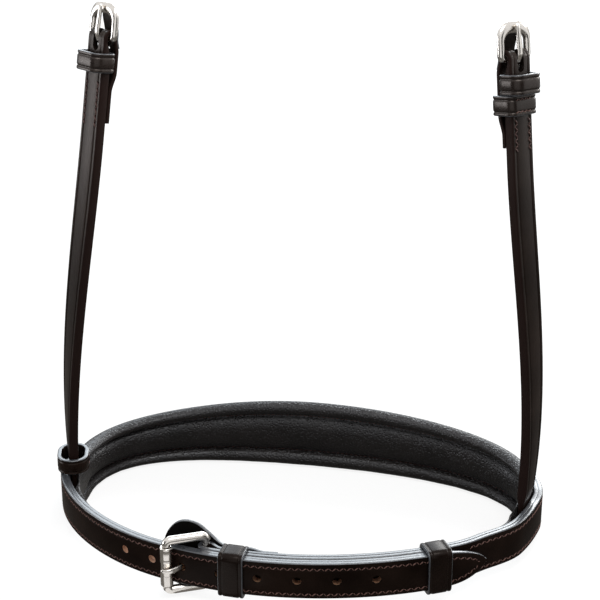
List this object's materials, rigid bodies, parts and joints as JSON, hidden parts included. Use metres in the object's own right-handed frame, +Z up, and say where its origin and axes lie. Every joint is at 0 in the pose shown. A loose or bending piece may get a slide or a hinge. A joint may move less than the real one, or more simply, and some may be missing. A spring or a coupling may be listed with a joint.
{
  "type": "bridle noseband",
  "caption": "Padded bridle noseband buckled into a loop, with a roller buckle and keepers at the chin and two sewn hangers that end in small buckles.",
  "frame": {"origin": "on the plane the band stands on, under the middle of the part's bounding box", "axes": "+Z up along the hangers, -Y towards the chin strap and its buckle, +Y towards the padded nosepiece, +X to the right of someone who looks at the chin strap"},
  "size_m": [0.2648, 0.1652, 0.2862],
  "materials": {
    "strap_leather": "semi-matt, oiled dark brown",
    "lining_leather": "matt, dark brown",
    "padding_leather": "soft pebbled, matt",
    "buckle_steel": "polished stainless"
  },
  "bodies": {
    "band": {"band_leather": "strap_leather", "billet_lining": "lining_leather", "nose_backing": "lining_leather", "buckle_strap_lining": "lining_leather", "nose_lining": "padding_leather", "chin_buckle_frame": "buckle_steel", "chin_keeper_fixed": "strap_leather", "chin_buckle_guard": "strap_leather", "slip_loop": "strap_leather", "hanger_left": "strap_leather", "hanger_right": "strap_leather", "buckle_tab_left": "strap_leather", "buckle_tab_right": "strap_leather", "keeper_left": "strap_leather", "keeper_right": "strap_leather", "lower_loop_right": "strap_leather"},
    "chin_roller": {"chin_buckle_roller": "buckle_steel"},
    "chin_tongue": {"chin_buckle_tongue": "buckle_steel"},
    "runner": {"chin_keeper_runner": "strap_leather"},
    "left_buckle": {"buckle_frame_left": "buckle_steel"},
    "left_tongue": {"buckle_tongue_left": "buckle_steel"},
    "right_buckle": {"buckle_frame_right": "buckle_steel"},
    "right_tongue": {"buckle_tongue_right": "buckle_steel"}
  },
  "joints": [
    {"name": "chin_roller_spin", "type": "hinge", "parent": "band", "child": "chin_roller", "pos_m": [-0.05299, -0.07696, 0.0186], "axis": [0, 0, 1], "continuous": true},
    {"name": "chin_tongue_lift", "type": "hinge", "parent": "band", "child": "chin_tongue", "pos_m": [-0.03416, -0.06829, 0.0175], "axis": [0, 0, 1], "range_deg": [0, 4]},
    {"name": "runner_slide", "type": "hinge", "parent": "band", "child": "runner", "pos_m": [-0.00405, 0.11362, 0.0175], "axis": [0, 0, 1], "range_deg": [-22.5, 0]},
    {"name": "left_buckle_swing", "type": "hinge", "parent": "band", "child": "left_buckle", "pos_m": [-0.09549, 0.00111, 0.269], "axis": [0.7877, -0.6155, 0.0258], "range_deg": [0, 40]},
    {"name": "left_tongue_swing", "type": "hinge", "parent": "left_buckle", "child": "left_tongue", "pos_m": [-0.09549, 0.00111, 0.269], "axis": [0.7877, -0.6155, 0.0258], "range_deg": [0, 60]},
    {"name": "right_buckle_swing", "type": "hinge", "parent": "band", "child": "right_buckle", "pos_m": [0.10619, -0.00819, 0.2687], "axis": [0.668, 0.7419, -0.0579], "range_deg": [0, 40]},
    {"name": "right_tongue_swing", "type": "hinge", "parent": "right_buckle", "child": "right_tongue", "pos_m": [0.10619, -0.00819, 0.2687], "axis": [0.668, 0.7419, -0.0579], "range_deg": [0, 60]}
  ]
}
